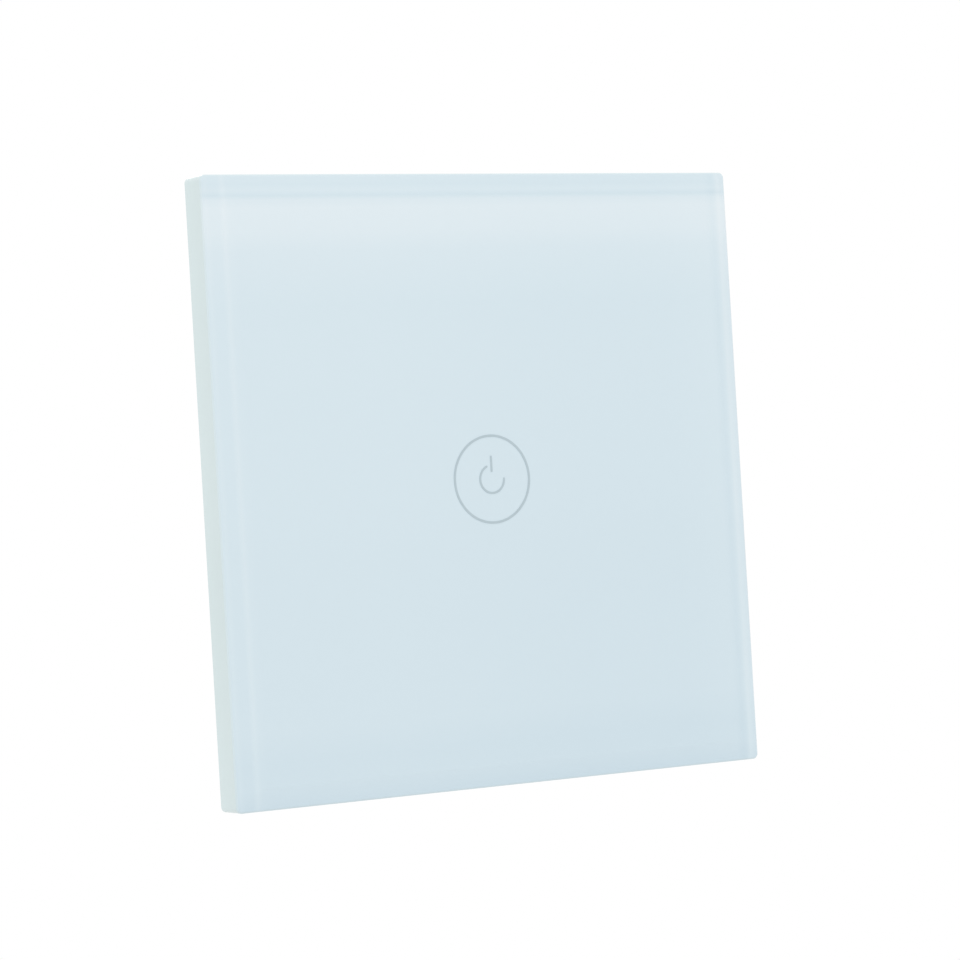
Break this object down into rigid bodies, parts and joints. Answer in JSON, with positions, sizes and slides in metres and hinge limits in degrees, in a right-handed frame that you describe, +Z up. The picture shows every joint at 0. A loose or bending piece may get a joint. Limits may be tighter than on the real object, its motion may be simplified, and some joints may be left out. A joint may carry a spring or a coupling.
{
  "type": "touch light switch",
  "caption": "Square glass touch light switch: clip-off glass panel with a ring and power sign, mounting frame, and a rear housing with circuit boards, relay and screw terminals.",
  "frame": {"origin": "centre of the two wall-screw slots, in the plane of the wall (the back of the mounting frame)", "axes": "+Z up the wall, -Y out of the wall into the room, +X to the right as seen from the room"},
  "size_m": [0.086, 0.0427, 0.086],
  "materials": {
    "glass": "clear toughened float glass, ground border",
    "enamel": "white ceramic enamel fired on the back of the glass",
    "mark": "light grey printed line",
    "tape": "white acrylic foam tape",
    "white_plastic": "white moulded thermoplastic, fine satin",
    "grey_plastic": "light grey moulded thermoplastic, fine satin",
    "block_plastic": "green moulded terminal block",
    "screw_steel": "zinc plated steel",
    "brass": "bare brass",
    "board": "glass-fibre laminate with solder resist",
    "spring_steel": "plated spring wire",
    "clear_plastic": "clear moulded light guide",
    "lamp": "moulded lamp with phosphor",
    "black_plastic": "black moulded epoxy",
    "ceramic": "sintered chip parts",
    "relay_plastic": "blue moulded relay cover",
    "iron": "nickel plated soft iron",
    "copper": "lacquered copper winding",
    "film": "yellow moulded capacitor case",
    "can": "sleeved aluminium can",
    "ferrite": "sintered ferrite",
    "blue_coat": "blue dipped coating"
  },
  "bodies": {
    "base": {"mounting_frame": "white_plastic", "rear_housing": "grey_plastic", "housing_screws": "screw_steel", "power_board": "board", "sensor_board": "board", "sensor_board_screws": "screw_steel", "touch_electrode": "spring_steel", "light_guide": "clear_plastic", "indicator_lamps": "lamp", "touch_chip": "black_plastic", "sensor_passives": "ceramic", "board_header": "black_plastic", "header_socket": "black_plastic", "terminal_block": "block_plastic", "terminal_bars": "brass", "relay_cover": "relay_plastic", "relay_base": "black_plastic", "relay_yoke": "iron", "relay_bobbin": "white_plastic", "relay_winding": "copper", "relay_core": "iron", "relay_contact": "brass", "film_capacitor": "film", "fuse_resistor": "ceramic", "storage_capacitor": "can", "smoothing_capacitor": "can", "choke_core": "ferrite", "choke_winding": "copper", "varistor": "blue_coat", "bridge_rectifier": "black_plastic", "supply_chip": "black_plastic"},
    "front_panel": {"glass_panel": "glass", "enamel_coat": "enamel", "touch_mark": "mark", "bond_tape": "tape", "panel_frame": "white_plastic"},
    "relay_arm": {"relay_armature": "iron", "relay_leaf": "brass"},
    "clamp_screw_1": {"terminal_screw_1": "screw_steel"},
    "clamp_cage_1": {"terminal_cage_1": "screw_steel"},
    "clamp_screw_2": {"terminal_screw_2": "screw_steel"},
    "clamp_cage_2": {"terminal_cage_2": "screw_steel"},
    "clamp_screw_3": {"terminal_screw_3": "screw_steel"},
    "clamp_cage_3": {"terminal_cage_3": "screw_steel"}
  },
  "joints": [
    {"name": "panel_pull", "type": "slide", "parent": "base", "child": "front_panel", "axis": [0, -1, 0], "range_m": [0, 0.015]},
    {"name": "relay_rock", "type": "hinge", "parent": "base", "child": "relay_arm", "pos_m": [-0.01473, 0.00633, 0.0177], "axis": [0, 0, 1], "range_deg": [0, 3.5], "stiffness_Nm_per_rad": 0.002},
    {"name": "clamp_turn_1", "type": "hinge", "parent": "base", "child": "clamp_screw_1", "pos_m": [-0.0076, 0.03, -0.0216], "axis": [0, -1, 0], "range_deg": [0, 2593]},
    {"name": "clamp_rise_1", "type": "slide", "parent": "base", "child": "clamp_cage_1", "axis": [0, 1, 0], "range_m": [0, 0.0036]},
    {"name": "clamp_turn_2", "type": "hinge", "parent": "base", "child": "clamp_screw_2", "pos_m": [0, 0.03, -0.0216], "axis": [0, -1, 0], "range_deg": [0, 2593]},
    {"name": "clamp_rise_2", "type": "slide", "parent": "base", "child": "clamp_cage_2", "axis": [0, 1, 0], "range_m": [0, 0.0036]},
    {"name": "clamp_turn_3", "type": "hinge", "parent": "base", "child": "clamp_screw_3", "pos_m": [0.0076, 0.03, -0.0216], "axis": [0, -1, 0], "range_deg": [0, 2593]},
    {"name": "clamp_rise_3", "type": "slide", "parent": "base", "child": "clamp_cage_3", "axis": [0, 1, 0], "range_m": [0, 0.0036]}
  ],
  "couplings": [
    {"joint": "clamp_turn_1", "follows": "clamp_rise_1", "rad_per_m": 12566},
    {"joint": "clamp_turn_2", "follows": "clamp_rise_2", "rad_per_m": 12566},
    {"joint": "clamp_turn_3", "follows": "clamp_rise_3", "rad_per_m": 12566}
  ]
}
